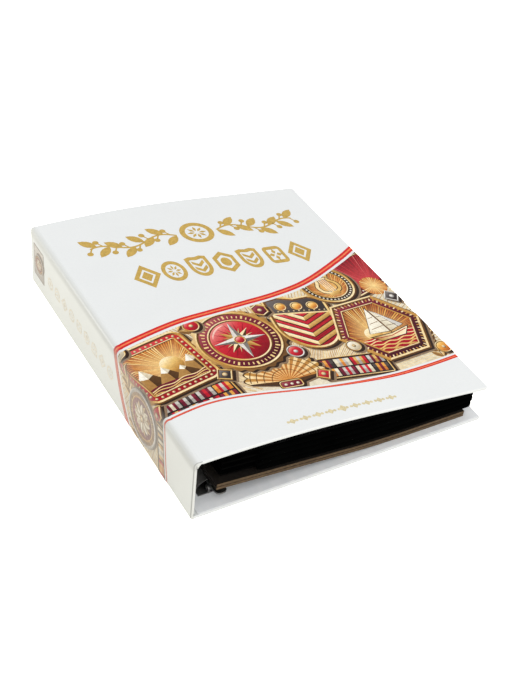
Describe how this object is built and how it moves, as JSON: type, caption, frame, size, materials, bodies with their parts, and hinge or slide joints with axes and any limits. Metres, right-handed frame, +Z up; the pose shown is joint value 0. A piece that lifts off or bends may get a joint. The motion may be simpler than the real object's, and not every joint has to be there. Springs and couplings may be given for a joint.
{
  "type": "pin badge album",
  "caption": "Ring album for pin badges: hard bowed cover over soft black badge pages and kraft boards, with an opening ring mechanism inside.",
  "frame": {"origin": "on the table, in the middle of the closed album's outline", "axes": "+X from the spine to the fore edge, +Y from the tail to the head, +Z up"},
  "size_m": [0.228, 0.27, 0.05],
  "materials": {
    "cover_board": "grey board, hidden",
    "cover_print": "white laminated printed paper, satin",
    "cover_liner": "pale blue-grey lining paper",
    "joint_strip": "creased laminated paper",
    "nickel": "nickel-plated steel",
    "page_panel": "black brushed cloth over foam",
    "page_strip": "black strip",
    "kraft": "kraft-brown board"
  },
  "bodies": {
    "back_cover": {"back_board": "cover_board", "back_wrap": "cover_print", "back_liner": "cover_liner", "ring_base_plate": "nickel", "fixed_ring_1": "nickel", "fixed_ring_2": "nickel", "fixed_ring_3": "nickel", "fixed_ring_4": "nickel", "lever_pins": "nickel", "plate_rivets": "nickel"},
    "spine": {"spine_board": "cover_board", "spine_wrap": "cover_print", "spine_liner": "cover_liner", "back_joint": "joint_strip", "front_joint": "joint_strip"},
    "front_cover": {"front_board": "cover_board", "front_wrap": "cover_print", "front_liner": "cover_liner"},
    "ring_carrier": {"ring_carrier": "nickel", "moving_ring_1": "nickel", "moving_ring_2": "nickel", "moving_ring_3": "nickel", "moving_ring_4": "nickel"},
    "head_lever": {"head_lever": "nickel"},
    "tail_lever": {"tail_lever": "nickel"},
    "page_1": {"page_panel_1": "page_panel", "page_strip_1": "page_strip"},
    "page_2": {"page_panel_2": "page_panel", "page_strip_2": "page_strip"},
    "page_3": {"page_panel_3": "page_panel", "page_strip_3": "page_strip"},
    "page_4": {"page_panel_4": "page_panel", "page_strip_4": "page_strip"},
    "kraft_board_1": {"kraft_board_1": "kraft"},
    "kraft_board_2": {"kraft_board_2": "kraft"}
  },
  "joints": [
    {"name": "spine_hinge", "type": "hinge", "parent": "back_cover", "child": "spine", "pos_m": [-0.1112, 0, 0.0028], "axis": [0, -1, 0], "range_deg": [0, 90]},
    {"name": "front_cover_hinge", "type": "hinge", "parent": "spine", "child": "front_cover", "pos_m": [-0.1112, 0, 0.0472], "axis": [0, -1, 0], "range_deg": [0, 90]},
    {"name": "ring_opening", "type": "hinge", "parent": "back_cover", "child": "ring_carrier", "pos_m": [-0.1015, 0, 0.00535], "axis": [0, -1, 0], "range_deg": [0, 8]},
    {"name": "head_lever_pivot", "type": "hinge", "parent": "back_cover", "child": "head_lever", "pos_m": [-0.089, 0.119, 0.0062], "axis": [-1, 0, 0], "range_deg": [0, 20]},
    {"name": "tail_lever_pivot", "type": "hinge", "parent": "back_cover", "child": "tail_lever", "pos_m": [-0.089, -0.119, 0.0062], "axis": [1, 0, 0], "range_deg": [0, 20]},
    {"name": "page_1_turn", "type": "hinge", "parent": "back_cover", "child": "page_1", "pos_m": [-0.089, 0, 0.026], "axis": [0, -1, 0], "range_deg": [0, 72]},
    {"name": "page_2_turn", "type": "hinge", "parent": "back_cover", "child": "page_2", "pos_m": [-0.089, 0, 0.026], "axis": [0, -1, 0], "range_deg": [0, 56]},
    {"name": "page_3_turn", "type": "hinge", "parent": "back_cover", "child": "page_3", "pos_m": [-0.089, 0, 0.026], "axis": [0, -1, 0], "range_deg": [0, 40]},
    {"name": "page_4_turn", "type": "hinge", "parent": "back_cover", "child": "page_4", "pos_m": [-0.089, 0, 0.026], "axis": [0, -1, 0], "range_deg": [0, 24]},
    {"name": "kraft_board_1_turn", "type": "hinge", "parent": "back_cover", "child": "kraft_board_1", "pos_m": [-0.089, 0, 0.026], "axis": [0, -1, 0], "range_deg": [0, 8]},
    {"name": "kraft_board_2_turn", "type": "hinge", "parent": "back_cover", "child": "kraft_board_2", "pos_m": [-0.089, 0, 0.026], "axis": [0, -1, 0], "range_deg": [0, 4]}
  ],
  "couplings": [
    {"joint": "head_lever_pivot", "follows": "ring_opening", "ratio": 2.5},
    {"joint": "tail_lever_pivot", "follows": "ring_opening", "ratio": 2.5},
    {"joint": "page_1_turn", "follows": "front_cover_hinge", "ratio": 0.8},
    {"joint": "page_2_turn", "follows": "front_cover_hinge", "ratio": 0.62222},
    {"joint": "page_3_turn", "follows": "front_cover_hinge", "ratio": 0.44444},
    {"joint": "page_4_turn", "follows": "front_cover_hinge", "ratio": 0.26667},
    {"joint": "kraft_board_1_turn", "follows": "front_cover_hinge", "ratio": 0.088889},
    {"joint": "kraft_board_2_turn", "follows": "front_cover_hinge", "ratio": 0.044444}
  ]
}
